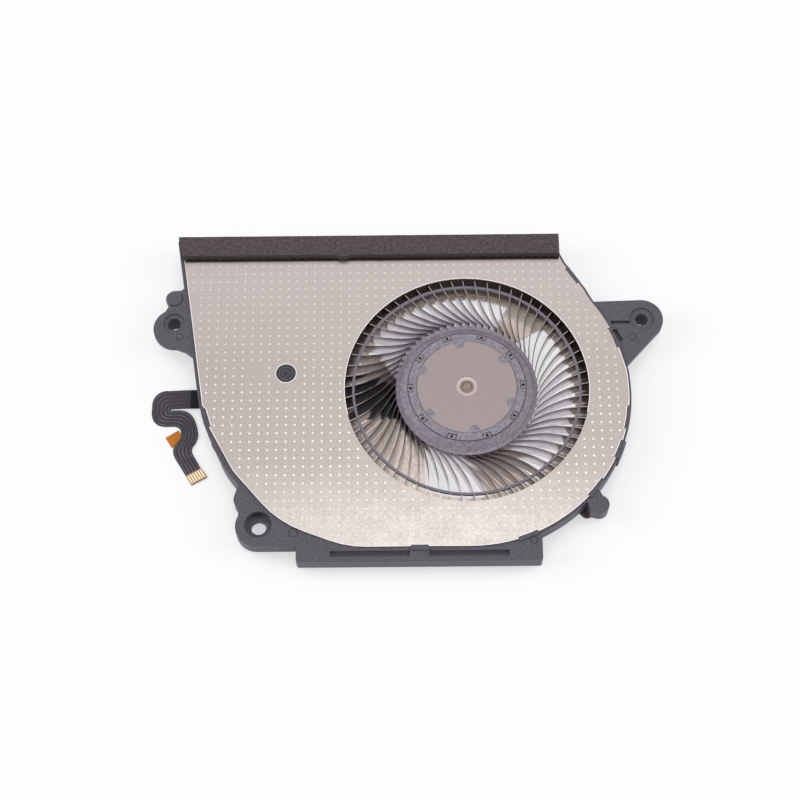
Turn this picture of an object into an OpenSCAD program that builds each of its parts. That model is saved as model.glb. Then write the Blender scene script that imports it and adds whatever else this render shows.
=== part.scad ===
// Laptop cooling fan: a flat centrifugal blower with a steel cover and base,
// a moulded frame with mounting ears, and an impeller of thin metal blades.
// The origin is on the spin axis at the underside of the base.
// +X runs along the outlet, +Y points to the outlet, +Z comes out of the inlet.

/* [Case] */
// Height of the case from base underside to cover top
case_h = 5.0; // [4.8:0.1:6.0]
// Thickness of the steel base
base_t = 0.45; // [0.3:0.05:0.5]
// Thickness of the steel cover
cover_t = 0.35; // [0.25:0.05:0.5]
// How far the blade tips reach under the edge of the air inlet
tip_cover = 0.75; // [0.6:0.05:1.0]
// Space between blade tips and scroll wall at its tightest
volute_gap = 4.6; // [3.8:0.1:6.0]
// How far the scroll opens over its last quarter turn
spiral_rise = 1.45; // [1.0:0.05:2.0]
// Height of the moulded upper rim that carries the ears
flange_t = 3.2; // [2.8:0.1:3.4]
// Thickness of the scroll wall below the rim
wall_t = 1.0; // [0.7:0.1:1.2]
// How far the cover reaches past the scroll wall
cover_lap = 0.6; // [0.4:0.1:0.8]
// Width of plastic seen around the cover
rim_w = 0.5; // [0.4:0.05:0.9]

/* [Outlet foam] */
// Height of the foam strip above the cover
foam_h = 1.5; // [1.0:0.1:2.5]
// Width of the foam strip
foam_w = 4.2; // [3.0:0.1:5.0]

/* [Mounting ears] */
// Thickness of the left and right ears
ear_t = 1.3; // [1.0:0.1:1.6]
// Radius of the left ear round its hole
left_ear_r = 4.0; // [3.6:0.1:4.4]
// Radius of the left screw hole
left_hole_r = 1.25; // [1.0:0.05:1.4]
// Radius of the right ear round its hole
right_ear_r = 4.0; // [3.8:0.05:4.4]
// Radius of the right screw hole
right_hole_r = 1.2; // [1.0:0.05:1.4]
// Radius of the front ear round its hole
front_ear_r = 3.85; // [3.5:0.05:4.1]
// Radius of the front screw hole
front_hole_r = 1.4; // [1.2:0.05:1.6]
// Radius of the deep recess round the front screw hole
front_recess_r = 2.45; // [2.1:0.05:2.7]
// Depth of the deep recess round the front screw hole
front_recess_d = 1.6; // [1.0:0.1:1.8]
// Width of the seats round the left and right screw holes
seat_w = 0.8; // [0.5:0.05:1.0]
// Depth of the seats round the left and right screw holes
seat_d = 0.3; // [0.1:0.05:0.5]
// Wall of the bosses under the left and right ears
boss_w = 0.9; // [0.6:0.1:1.2]

/* [Front bar] */
// Depth of the bar in front of the case
bar_d = 2.7; // [2.4:0.1:3.4]
// Width of the long slots in the bar
slot_w = 1.1; // [0.8:0.05:1.3]
// Plastic left between a slot and the front of the bar
slot_edge = 0.9; // [0.6:0.05:1.1]

/* [Impeller] */
// Number of blades
blade_n = 61; // [41:2:71]
// Radius of the blade tips
blade_r = 23.4; // [23.1:0.1:24.0]
// Radius where the blades meet the hub wall
root_r = 12.7; // [12.6:0.05:12.9]
// Thickness of a blade
blade_t = 0.15; // [0.1:0.01:0.2]
// Space under the blades
blade_floor = 0.75; // [0.6:0.05:1.0]
// Space between the blades and the cover
blade_roof = 0.3; // [0.2:0.05:0.5]
// Largest shift of a blade from even spacing, in degrees
blade_scatter = 0.45; // [0:0.05:0.8]
// From the blade tips to the outside of the ring that joins the blades
ring_inset = 2.18; // [2.0:0.02:2.4]
// Width of that ring
ring_w = 0.46; // [0.3:0.02:0.6]
// Height of that ring
ring_h = 0.6; // [0.4:0.05:0.7]
// Outer radius of the hub rim
hub_r = 13.15; // [13.05:0.05:13.4]
// Thickness of the hub's lip
hub_edge_t = 0.3; // [0.2:0.05:0.4]
// Width of the level top of the hub beside the steel cap
hub_deck_w = 1.55; // [1.4:0.05:1.7]
// How far the hub's lip lies below its top
hub_drop = 1.35; // [1.2:0.05:1.5]
// Thickness of the hub walls
hub_wall = 0.8; // [0.6:0.05:0.9]
// Number of small square outlines cut round the hub's top
pocket_n = 10; // [6:1:12]
// Length of such an outline along the edge of the hub's top
pocket_w = 1.7; // [1.4:0.05:1.9]
// Width of the groove round the hub's top
groove_w = 0.2; // [0.12:0.02:0.24]

/* [Motor] */
// Radius of the steel rotor cap
cap_r = 9.28; // [9.1:0.02:9.4]
// Thickness of the steel rotor cap
cap_t = 0.3; // [0.2:0.05:0.4]
// How far the cap stands above the cover
cap_proud = 0.1; // [0:0.05:0.3]
// Number of round notches in the rim of the cap
notch_n = 6; // [3:1:8]
// Radius of a notch
notch_r = 0.95; // [0.7:0.05:1.1]
// Thickness of the magnet ring
magnet_t = 0.9; // [0.6:0.05:1.1]
// Air gap between magnet and stator
air_gap = 0.3; // [0.2:0.05:0.5]
// Radius of the shaft
shaft_r = 0.9; // [0.75:0.05:1.0]
// Radius of the bush that holds the shaft in the cap
bush_r = 1.95; // [1.7:0.05:2.2]
// Thickness of the bearing sleeve wall
sleeve_t = 1.3; // [1.1:0.05:1.4]
// Thickness of the bearing housing wall
housing_t = 0.8; // [0.6:0.05:0.9]
// Width of a stator tooth
tooth_w = 1.3; // [1.0:0.1:1.5]
// Thickness of copper wound round a tooth
coil_t = 0.65; // [0.4:0.05:0.7]

/* [Flexible circuit] */
// Thickness of the flexible circuit
flex_t = 0.15; // [0.1:0.01:0.2]
// Width of the strip inside the case
flex_w = 6.3; // [5.5:0.1:6.6]
// Width of the strip where it leaves the case
tail_w = 3.8; // [3.5:0.05:3.85]
// Number of gold contacts
contact_n = 6; // [4:1:6]
// Spacing of the gold contacts
contact_pitch = 0.5; // [0.45:0.01:0.5]

/* [Hidden] */

// Clearance between pieces that are pressed or glued together
fit = 0.02;
// Running clearance of the shaft in its sleeve
run = 0.03;
// Overrun of every cut
cut = 0.3;
// Degrees in one step of a drawn curve
arc_step = 9;
$fn = 96;

// Levels above the underside of the base
z_rim = case_h - cover_t;
z_flange = z_rim - flange_t;
z_flex = base_t + flex_t;
z_blade = base_t + blade_floor;
z_blade_top = z_rim - blade_roof;
z_cap = case_h + cap_proud;

// Driving radius of the plan: the edge of the cover on the right
inlet_r = blade_r - tip_cover;
ring_r = blade_r - ring_inset;
case_r = blade_r + volute_gap + wall_t + cover_lap;
front_y = case_r + spiral_rise;

// Corners of the case that the scroll curve doesn't give, as shares of case_r, with the
// share of the corner's rounding. The cover has corners of its own on the left, with a
// notch for the frame.
left_corner_share = [[-1.834, 1.061, 0.01], [-1.642, -0.18, 0.85], [-1.476, -0.539, 0.4],
    [-1.159, -0.892, 0.6]];
cover_corner_share = [[-1.822, 1.061, 0.01], [-1.644, -0.12, 0.1], [-1.623, -0.136, 0.01],
    [-1.588, -0.25, 0.01], [-1.596, -0.262, 0.01], [-1.441, -0.552, 0.3], [-1.155, -0.889, 0.65]];
left_foot_share = [-0.74, 0.6];
mouth_share = [[0.635, 0.872, 0.02], [0.598, 0.955, 0.03], [0.595, 1.061, 0.01]];

// Spans of the rim, in degrees, where plastic pads are clinched into notches of the cover,
// with the bulge of each pad out of the rim as a share of pad_bulge
pad_span_share = [[-74, -67, 0], [-45.5, -37.5, 0], [-28.5, -21.5, 1], [-17, -8, 0],
    [15, 24, 0], [44.5, 52, 0]];
// Depth of those notches
pad_d = 0.35;
// How far the widest pad bulges out of the rim
pad_bulge = 0.3;
// Drop of a pad below the cover's top
pad_drop = 0.08;

function unit(v) = v / norm(v);
function turn(a, r) = [r * cos(a), r * sin(a)];
function heading(v) = atan2(v[1], v[0]);
function short_way(a) = a > 180 ? a - 360 : a < -180 ? a + 360 : a;

// Points of the rounding of corner q between neighbours p and s
function round_corner(p, q, s, r) =
    let (u = unit(p - q), v = unit(s - q), half = acos(max(-1, min(1, u * v))) / 2)
    r <= 0 || half > 89.5 ? [q] :
    let (reach = min(r / tan(half), min(norm(p - q), norm(s - q)) / 2.05),
        rr = reach * tan(half),
        centre = q + unit(u + v) * rr / sin(half),
        a = heading(q + u * reach - centre),
        sweep = short_way(heading(q + v * reach - centre) - a),
        steps = max(1, ceil(abs(sweep) / arc_step)))
    [for (i = [0:steps]) centre + turn(a + sweep * i / steps, rr)];

// Outline from corners [x, y, rounding]
function rounded(c) = [for (i = [0:len(c) - 1])
    let (p = c[(i + len(c) - 1) % len(c)], q = c[i], s = c[(i + 1) % len(c)])
    for (e = round_corner([p[0], p[1]], [q[0], q[1]], [s[0], s[1]], q[2])) e];

// Corners moved inwards by d, or outwards where d is negative. The corners run
// anticlockwise, and a rounding shrinks or grows with the outline.
function inset(c, d) = [for (i = [0:len(c) - 1])
    let (p = c[(i + len(c) - 1) % len(c)], q = c[i], s = c[(i + 1) % len(c)],
        u = unit([q[0] - p[0], q[1] - p[1]]), v = unit([s[0] - q[0], s[1] - q[1]]),
        n = [-u[1], u[0]], m = [-v[1], v[0]], side = u[0] * v[1] - u[1] * v[0] > 0 ? 1 : -1,
        at = [q[0], q[1]] + (n + m) * d / (1 + n * m))
    [at[0], at[1], q[2] > 0 ? max(0, q[2] - side * d) : 0]];

// Radius of the scroll at angle a: it opens from the right side to the front, and
// again towards the mouth. The table gives the share of spiral_rise at each angle.
mouth_end = 53;
scroll_rise_share = [[-90, 1], [-80, 1], [-75, 0.97], [-60, 0.79], [-50, 0.69], [-33, 0.49],
    [-19, 0.35], [-5, 0.19], [0, 0.13], [7, 0.1], [10, -0.06], [36, -0.06], [39, 0.12],
    [41, 0.34], [45, 0.58], [48, 0.83], [51, 1.2], [53, 1.43]];
function scroll_r(a) = case_r + spiral_rise * lookup(a, scroll_rise_share);
function on_scroll(a, out) = turn(a, scroll_r(a) + out);

scroll_step = 3;
// Angles of the plain scroll curve from the front round to the mouth
scroll_angles = [for (a = [-90:scroll_step:mouth_end]) a];

// Plan of the case. mouth moves the outlet's edge out along its walls.
function left_side(mouth) =
    let (p = [for (c = left_corner_share) c * case_r],
        lean = (p[0][0] - p[1][0]) / (p[0][1] - p[1][1]))
    [[p[0][0] + lean * mouth, p[0][1] + mouth, p[0][2]], p[1], p[2], p[3],
        [left_foot_share[0] * case_r, -front_y, left_foot_share[1] * case_r]];
function right_side(mouth) =
    let (p = [for (c = mouth_share) c * case_r])
    [p[0], p[1], [p[2][0], p[2][1] + mouth, p[2][2]]];
function plan_corners(mouth) = concat(left_side(mouth),
    [for (a = scroll_angles) concat(on_scroll(a, 0), [0])], right_side(mouth));
function plan(d = 0, mouth = 0) = rounded(inset(plan_corners(mouth), d));

// Notched edge of the cover: the plain scroll between the pads, a step inwards at each
function pad_end(i) = i < 0 ? -90 : pad_span_share[i][1];
function clinched(s) = concat([concat(on_scroll(s[0], 0), [0])],
    [for (i = [0:2]) concat(on_scroll(s[0] + (s[1] - s[0]) * i / 2, -pad_d), [0])],
    [concat(on_scroll(s[1], 0), [0])]);
function between(a, b) = [for (t = scroll_angles) if (t > a && t < b) concat(on_scroll(t, 0), [0])];
function cover_corners() = concat([for (c = cover_corner_share) c * case_r],
    [[left_foot_share[0] * case_r, -front_y, left_foot_share[1] * case_r]],
    [concat(on_scroll(-90, 0), [0])],
    [for (i = [0:len(pad_span_share) - 1])
        for (c = concat(between(pad_end(i - 1), pad_span_share[i][0]), clinched(pad_span_share[i]))) c],
    between(pad_end(len(pad_span_share) - 1), mouth_end), right_side(0));

module prism(z, h, points) {
    translate([0, 0, z]) linear_extrude(h) polygon(points);
}

module disc(z, h, r) {
    translate([0, 0, z]) cylinder(h = h, r = r);
}

module tube(z, h, outer, inner) {
    difference() {
        disc(z, h, outer);
        disc(z - cut, h + 2 * cut, inner);
    }
}

module at_share(share) {
    translate([share[0] * case_r, share[1] * case_r, 0]) children();
}

// Mounting points and small marks, as shares of case_r
left_hole_share = [-1.851, 0.463];
left_ear_share = [-1.845, 0.43];
left_lobe_share = [-1.853, 0.64];
right_hole_share = [1.121, 0.466];
front_hole_share = [-1.281, -0.899];
front_ear_share = [-1.29, -0.907];
front_lobe_share = [-1.372, -0.734];
corner_lobe_share = [0.79, -0.786];
post_share = [-1.131, 0.101];
// The right seat is this much wider than the left one
right_seat_share = 1.4;

// Radii of the small lobes beside the ears
left_lobe_r = 1.7;
front_lobe_r = 1.85;
corner_lobe_r = 1.7;

// Webs that join the ears and lobes to the rim
left_web_share = [[-1.69, 0.16], [-1.6, 0.3], [-1.6, 0.7], [-1.795, 0.716], [-1.815, 0.699],
    [-1.853, 0.697], [-1.895, 0.575], [-1.98, 0.43], [-1.83, 0.295], [-1.772, 0.272], [-1.727, 0.235]];
right_web_share = [[0.8, 0.2], [1.012, 0.147], [1.221, 0.377], [1.121, 0.466], [1.124, 0.601],
    [0.818, 0.592], [0.75, 0.5]];
front_web_share = [[-1.36, -0.52], [-1.405, -0.63], [-1.433, -0.72], [-1.405, -0.8],
    [-1.402, -0.85], [-1.42, -0.9], [-1.29, -1.037], [-1.0, -1.037], [-1.0, -0.9]];
corner_web_share = [[0.71, -0.76], [0.735, -0.832], [0.79, -0.843], [0.84, -0.79],
    [0.793, -0.7], [0.73, -0.65]];

// Front bar
bar_left_share = -1.05;
bar_right_share = 0.432;
bar_round = 0.5;
bar_y = -front_y - bar_d;
// Ends of the two slots, as shares of case_r
slot_share = [[-0.845, -0.365], [-0.25, 0.233]];
// Plastic tab between the slots that holds the cover's edge
tab_share = [-0.36, -0.25];
tab_reach = 0.3;

// Round ejector marks on the ears and the bar: place, radius share of mark_r
mark_share = [[-1.812, 0.37, 0.9], [1.055, 0.343, 1.0], [-1.067, -0.953, 1.1],
    [0.382, -1.012, 0.9]];
mark_r = 0.8;
mark_d = 0.1;
mark_line = 0.15;

// Curved groove beside the small lobe of the left ear
arc_r = 1.55;
arc_w = 0.22;
arc_d = 0.25;
arc_span = [-118, 38];

// Groove and pocket on the right ear
ear_groove_share = [0.984, 0.443];
ear_groove_l = 3.5;
ear_groove_w = 0.7;
ear_groove_d = 0.6;
ear_pocket_share = [0.961, 0.352];
ear_pocket_l = 2.7;
ear_pocket_w = 0.95;
ear_pocket_tilt = -64;

// Bulge of the rim at the lower left, and below it the wall that stands flush with the rim
bulge_share = [[-1.583, -0.37], [-1.541, -0.44], [-1.528, -0.44], [-1.5, -0.42], [-1.55, -0.34]];
flush_share = [[-1.527, -0.47], [-1.498, -0.525], [-1.462, -0.577], [-1.409, -0.642],
    [-1.37, -0.625], [-1.48, -0.44]];

// Where the flexible circuit passes the wall
exit_mid = -0.15;
exit_y = [exit_mid - tail_w / 2, exit_mid + tail_w / 2];
exit_play = 0.1;

module rim_pad(span, bulge, top) {
    points = concat(
        [for (i = [0:3]) on_scroll(span[0] + (span[1] - span[0]) * i / 3, -pad_d + fit)],
        [for (i = [3:-1:0]) on_scroll(span[0] + (span[1] - span[0]) * i / 3, rim_w + bulge)]);
    prism(z_flange, top - z_flange, points);
}

// Boss that carries a screw down to the level of the base's underside
module screw_boss(share, r) {
    at_share(share) disc(0, z_rim - ear_t / 2, r + boss_w);
}

module ear_left() {
    z = z_rim - ear_t;
    screw_boss(left_hole_share, left_hole_r);
    prism(z, ear_t, left_web_share * case_r);
    at_share(left_ear_share) disc(z, ear_t, left_ear_r);
    at_share(left_lobe_share) disc(z, ear_t, left_lobe_r);
}

module ear_right() {
    z = z_rim - ear_t;
    screw_boss(right_hole_share, right_hole_r);
    prism(z, ear_t, right_web_share * case_r);
    at_share(right_hole_share) disc(z, ear_t, right_ear_r);
}

module ear_front() {
    prism(z_flange, flange_t, front_web_share * case_r);
    at_share(front_ear_share) disc(z_flange, flange_t, front_ear_r);
    at_share(front_lobe_share) disc(z_flange, flange_t, front_lobe_r);
    prism(z_flange, flange_t, corner_web_share * case_r);
    at_share(corner_lobe_share) disc(z_flange, flange_t, corner_lobe_r);
}

module front_bar() {
    x0 = bar_left_share * case_r;
    x1 = bar_right_share * case_r;
    y1 = -front_y + bar_d;
    prism(z_flange, flange_t, rounded([[x0, bar_y, bar_round], [x1, bar_y, bar_round],
        [x1, y1, 0], [x0, y1, 0]]));
}

module bar_slots() {
    for (s = slot_share) {
        translate([s[0] * case_r, bar_y + slot_edge, z_flange - cut])
            cube([(s[1] - s[0]) * case_r, slot_w, flange_t + 2 * cut]);
    }
}

module screw_hole(share, r) {
    at_share(share) disc(-cut, z_rim + 2 * cut, r);
}

module lobe_arc() {
    at_share(left_lobe_share) intersection() {
        tube(z_rim - arc_d, arc_d + cut, arc_r, arc_r - arc_w);
        prism(z_rim - 2 * arc_d, 2 * arc_d + cut, concat([[0, 0]],
            [for (i = [0:3]) turn(arc_span[0] + (arc_span[1] - arc_span[0]) * i / 3, 2 * arc_r)]));
    }
}

module ejector_marks() {
    for (m = mark_share) {
        at_share(m) tube(z_rim - mark_d, mark_d + cut, mark_r * m[2], mark_r * m[2] - mark_line);
    }
}

module frame() {
    color("#625C68") {
        difference() {
            union() {
                prism(z_flange, flange_t, plan(-rim_w));
                prism(base_t, z_flange - base_t, plan(cover_lap));
                ear_left();
                ear_right();
                ear_front();
                front_bar();
                prism(z_rim - ear_t, ear_t, bulge_share * case_r);
                prism(base_t, z_rim - base_t, flush_share * case_r);
                for (s = pad_span_share) {
                    rim_pad(s, s[2] * pad_bulge, case_h - pad_drop);
                }
                translate([tab_share[0] * case_r + fit, bar_y + slot_edge + slot_w, z_flange])
                    cube([(tab_share[1] - tab_share[0]) * case_r - 2 * fit,
                        bar_d - slot_edge - slot_w + tab_reach - fit, case_h - pad_drop - z_flange]);
            }
            prism(base_t - cut, case_h, plan(cover_lap + wall_t, 2 * case_h));
            bar_slots();
            screw_hole(left_hole_share, left_hole_r);
            at_share(left_hole_share) disc(z_rim - seat_d, cover_t + seat_d, left_hole_r + seat_w);
            screw_hole(right_hole_share, right_hole_r);
            at_share(right_hole_share) disc(z_rim - seat_d, cover_t + seat_d,
                right_hole_r + seat_w * right_seat_share);
            screw_hole(front_hole_share, front_hole_r);
            at_share(front_hole_share) disc(z_rim - front_recess_d, cover_t + front_recess_d,
                front_recess_r);
            ejector_marks();
            lobe_arc();
            at_share(ear_groove_share)
                translate([-ear_groove_l / 2, -ear_groove_w / 2, z_rim - ear_groove_d])
                cube([ear_groove_l, ear_groove_w, ear_groove_d + cut]);
            at_share(ear_pocket_share) rotate([0, 0, ear_pocket_tilt])
                translate([-ear_pocket_l / 2, -ear_pocket_w / 2, z_rim - ear_t / 2])
                cube([ear_pocket_l, ear_pocket_w, ear_t]);
            translate([-2 * case_r, exit_y[0] - exit_play, base_t - cut])
                cube([case_r, exit_y[1] - exit_y[0] + 2 * exit_play, flex_t + exit_play + cut]);
        }
    }
}

// Steel cover with the air inlet
post_r = 1.8;
post_play = 0.12;

module cover() {
    color("#C8BDB6") {
        difference() {
            prism(z_rim, cover_t, rounded(cover_corners()));
            disc(z_rim - cut, cover_t + 2 * cut, inlet_r);
            at_share(post_share) disc(z_rim - cut, cover_t + 2 * cut, post_r + post_play);
            translate([tab_share[0] * case_r, -front_y - cut, z_rim - cut])
                cube([(tab_share[1] - tab_share[0]) * case_r, tab_reach + cut, cover_t + 2 * cut]);
        }
    }
}

// Base plate: three air openings between the arms that carry the motor
opening_r = 20.4;
seat_r = 11.8;
// Sides of each opening: two corners near the hub and two near the rim, as shares of
// opening_r, in the order start side inner, start side outer, end side outer, end side inner
opening_share = [
    [[0.21, 0.62], [0.46, 0.985], [-0.97, 0.48], [-0.60, 0.13]],
    [[-0.397, -0.44], [-0.39, -0.99], [0.19, -1.04], [-0.14, -0.52]],
    [[0.20, -0.45], [0.64, -0.85], [0.80, 0.73], [0.36, 0.50]]];
bead_r = 21.4;
bead_w = 0.8;
bead_h = 0.2;
// Round tab beside the lower right lobe
base_tab_share = [0.723, -0.784];
base_tab_r = 1.15;
housing_r = shaft_r + run + sleeve_t + housing_t;
spigot_r = housing_r - housing_t / 2;

// Far corner that lets an opening's wedge reach past its round edge
module opening(c) {
    far = 2 * opening_r;
    difference() {
        intersection() {
            disc(-cut, base_t + 2 * cut, opening_r);
            prism(-cut, base_t + 2 * cut, concat([c[0] * opening_r, c[1] * opening_r],
                [unit(c[1]) * far, unit(unit(c[1]) + unit(c[2])) * far * 2,
                unit(c[2]) * far], [c[2] * opening_r, c[3] * opening_r]));
        }
        disc(-2 * cut, base_t + 4 * cut, seat_r);
    }
}

module base_plate() {
    color("#A89E98") {
        difference() {
            union() {
                prism(0, base_t, plan(cover_lap));
                at_share(base_tab_share) disc(0, base_t, base_tab_r);
                rotate([0, 0, heading(base_tab_share)]) translate([bead_r, -base_tab_r, 0])
                    cube([norm(base_tab_share) * case_r - bead_r, 2 * base_tab_r, base_t]);
                tube(base_t - bead_h, 2 * bead_h, bead_r + bead_w, bead_r);
            }
            for (c = opening_share) {
                opening(c);
            }
            disc(-cut, base_t + 2 * cut, spigot_r + fit);
            translate([-case_r, flex_top_y - flex_w - cut, base_t])
                cube([case_r, flex_w + 2 * cut, bead_h + cut]);
        }
    }
}

// Foam strip glued along the outlet
foam_end_share = [-1.841, 0.614];
foam_slant_share = 0.024;
// Round bump of its front edge
foam_bump_share = -0.777;
foam_bump_r = 2.0;
foam_bump_d = 0.4;
foam_back = 0.05;

module foam_gasket() {
    y1 = left_corner_share[0][1] * case_r - foam_back;
    y0 = y1 - foam_w;
    x0 = foam_end_share[0] * case_r;
    x1 = foam_end_share[1] * case_r;
    color("#5C5358") {
        prism(case_h, foam_h, [[x0 + foam_slant_share * case_r, y0], [x1, y0], [x1, y1], [x0, y1]]);
        translate([foam_bump_share * case_r, y0 + foam_bump_r - foam_bump_d, 0])
            disc(case_h, foam_h, foam_bump_r);
    }
}

// Moulded post that holds base and cover apart in the outlet
post_foot_r = 2.5;
post_foot_h = 0.4;
post_proud = 0.08;
post_dimple_r = 0.8;
post_dimple_d = 0.35;

module support_post() {
    color("#2E2B30") {
        at_share(post_share) {
            difference() {
                union() {
                    disc(base_t, case_h + post_proud - base_t, post_r);
                    disc(base_t, post_foot_h, post_foot_r);
                }
                translate([0, 0, case_h + post_proud - post_dimple_d])
                    cylinder(h = post_dimple_d + fit, r1 = 0, r2 = post_dimple_r);
            }
        }
    }
}

// Impeller: hub, blades and ring
z_deck = case_h - fit;
z_lip = z_deck - hub_drop;
z_hub_under = z_lip - hub_edge_t;
z_hub = z_blade + 1.5 * blade_roof;
hub_in_r = cap_r + fit;
deck_r = cap_r + hub_deck_w;
hub_skirt_r = root_r - 2 * fit;
lip_w = 0.6;
groove_d = 0.35;
// Step down from the hub's top to its sloping shoulder
shoulder_step = 0.15;
pocket_turn = 1.5;
pocket_in = 0.95;
pocket_line = 0.16;
pocket_hole_r = 0.28;
notch_turn = 38;
notch_place_r = cap_r - 0.45 * notch_r;

module notches(r, z, h) {
    for (i = [0:notch_n - 1]) {
        rotate([0, 0, notch_turn + i * 360 / notch_n]) translate([notch_place_r, 0, 0]) disc(z, h, r);
    }
}

// Three-sided line that opens into the groove, with a small hole inside it
module pocket() {
    translate([deck_r - pocket_in, 0, z_deck - groove_d]) {
        difference() {
            translate([0, -pocket_w / 2, 0]) cube([pocket_in + groove_w / 2, pocket_w, groove_d + cut]);
            translate([pocket_line, pocket_line - pocket_w / 2, -cut])
                cube([pocket_in, pocket_w - 2 * pocket_line, groove_d + 3 * cut]);
        }
        translate([(pocket_in + pocket_line) / 2, 0, -groove_d])
            disc(0, 2 * groove_d + cut, pocket_hole_r);
    }
}

module impeller_hub() {
    color("#9B97A4") {
        difference() {
            union() {
                rotate_extrude() polygon([
                    [hub_in_r, z_hub], [hub_in_r + hub_wall, z_hub],
                    [hub_in_r + hub_wall, z_hub_under], [hub_skirt_r - hub_wall, z_hub_under],
                    [hub_skirt_r - hub_wall, z_hub], [hub_skirt_r, z_hub],
                    [hub_skirt_r, z_hub_under], [hub_r, z_hub_under], [hub_r, z_lip],
                    [hub_r - lip_w, z_lip], [deck_r + groove_w, z_deck - shoulder_step],
                    [deck_r + groove_w, z_deck - groove_d], [deck_r, z_deck - groove_d],
                    [deck_r, z_deck], [hub_in_r, z_deck]]);
                intersection() {
                    notches(notch_r, z_cap - cap_t, cap_t - fit);
                    disc(z_cap - cap_t, cap_t, hub_in_r + fit);
                }
            }
            for (i = [0:pocket_n - 1]) {
                rotate([0, 0, pocket_turn + i * 360 / pocket_n]) pocket();
            }
        }
    }
}

// Each blade is an arc whose centre lies outside the impeller
blade_bend_r = 0.855 * blade_r;
// How far inside its root the blade's arc would come closest to the axis
blade_ease = 0.2;
blade_centre_r = blade_bend_r + root_r - blade_ease;
// Angle about the blade's own centre, from the spin axis to radius r
function blade_angle(r) = acos((pow(blade_bend_r, 2) + pow(blade_centre_r, 2) - r * r)
    / (2 * blade_bend_r * blade_centre_r));
z_ring = z_blade_top + 2 * fit - ring_h;
function blade_turn(i) = i * 360 / blade_n + blade_scatter * sin(i * 9 * 360 / blade_n);

module blade_piece(r0, r1, z, h) {
    translate([blade_centre_r, 0, z]) rotate([0, 0, 180 - blade_angle(r1)])
        rotate_extrude(angle = blade_angle(r1) - blade_angle(r0))
        translate([blade_bend_r - blade_t / 2, 0]) square([blade_t, h]);
}

module impeller_blades() {
    color("#6B6566") {
        difference() {
            for (i = [0:blade_n - 1]) {
                rotate([0, 0, blade_turn(i)])
                    blade_piece(root_r, blade_r, z_blade, z_blade_top - z_blade);
            }
            disc(z_hub_under, z_blade_top, hub_r + 2 * blade_t);
            tube(z_ring - fit, ring_h + cut, ring_r + fit, ring_r - ring_w - fit);
        }
    }
}

// The ring is let into the tops of the blades
module blade_ring() {
    color("#8D8994") tube(z_ring, ring_h, ring_r, ring_r - ring_w);
}

// Motor: rotor
yoke_t = 0.33;
magnet_r = cap_r - yoke_t - fit;
magnet_in_r = magnet_r - magnet_t;
z_magnet = z_hub + cap_t / 2;
magnet_h = z_cap - 3 * cap_t - z_magnet;
cap_round = 0.15;
bush_flange = 0.6;
z_shaft = base_t + 2 * fit;

module rotor_cap() {
    color("#ACA09C") {
        difference() {
            rotate_extrude() polygon([
                [bush_r + fit, z_cap - cap_t], [cap_r - yoke_t, z_cap - cap_t],
                [cap_r - yoke_t, z_hub], [cap_r, z_hub], [cap_r, z_cap - cap_round],
                [cap_r - cap_round, z_cap], [bush_r + fit, z_cap]]);
            notches(notch_r + fit, z_cap - cap_t, cap_t + cut);
        }
    }
}

module ring_magnet() {
    color("#3A3A3C") tube(z_magnet, magnet_h, magnet_r, magnet_in_r);
}

module shaft() {
    color("#B98A6A") {
        rotate_extrude() polygon([[0, z_shaft], [shaft_r - cap_round, z_shaft],
            [shaft_r, z_shaft + cap_round], [shaft_r, z_cap - cap_round],
            [shaft_r - cap_round, z_cap], [0, z_cap]]);
    }
}

module shaft_bush() {
    color("#B8ACA6") {
        rotate_extrude() polygon([
            [shaft_r + fit, z_cap - cap_t - bush_flange], [bush_r, z_cap - cap_t - bush_flange],
            [bush_r + bush_flange, z_cap - cap_t - bush_flange / 2],
            [bush_r + bush_flange, z_cap - cap_t], [bush_r, z_cap - cap_t],
            [bush_r, z_cap - cap_round / 2], [shaft_r + cap_round, z_cap - cap_round],
            [shaft_r + fit, z_cap - cap_round]]);
    }
}

// Motor: bearing
pad_t = base_t / 3;
z_sleeve = base_t + 4 * pad_t;
seal_t = 0.12;
z_housing = z_cap - cap_t - 2 * bush_flange;
foot_w = 0.8;
sleeve_r = shaft_r + run + sleeve_t;

module bearing_sleeve() {
    color("#9A7B52") tube(z_sleeve, z_housing - 2 * seal_t - z_sleeve, sleeve_r, shaft_r + run);
}

module bearing_housing() {
    color("#C2A35C") {
        rotate_extrude() polygon([[0, 0], [spigot_r, 0], [spigot_r, base_t],
            [housing_r + foot_w, base_t], [housing_r + foot_w, base_t + 2 * pad_t],
            [housing_r, base_t + 2 * pad_t], [housing_r, z_housing], [sleeve_r + fit, z_housing],
            [sleeve_r + fit, base_t - pad_t], [0, base_t - pad_t]]);
    }
}

module thrust_pad() {
    color("#E8E2D0") disc(base_t - pad_t, pad_t, sleeve_r - fit);
}

module oil_seal() {
    color("#2B2B2B") tube(z_housing - 2 * seal_t, seal_t, sleeve_r, shaft_r + 3 * run);
}

// Motor: stator. It has one tooth for each of the coil nodes.
tooth_n = 6;
stator_r = magnet_in_r - air_gap;
core_in_r = housing_r + fit;
core_hub_w = 1.0;
shoe_t = 0.7;
shoe_half = 23;
insulator_t = 0.25;
chip_h = 0.35;
core_share = 0.667;
core_h = core_share * magnet_h;
// The stator stands halfway between the driver chip and the cap
z_mid = (z_flex + chip_h + z_cap - cap_t) / 2;
z_core = z_mid - core_h / 2;
coil_gap = 0.25;
shoe_in_r = stator_r - shoe_t;

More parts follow.
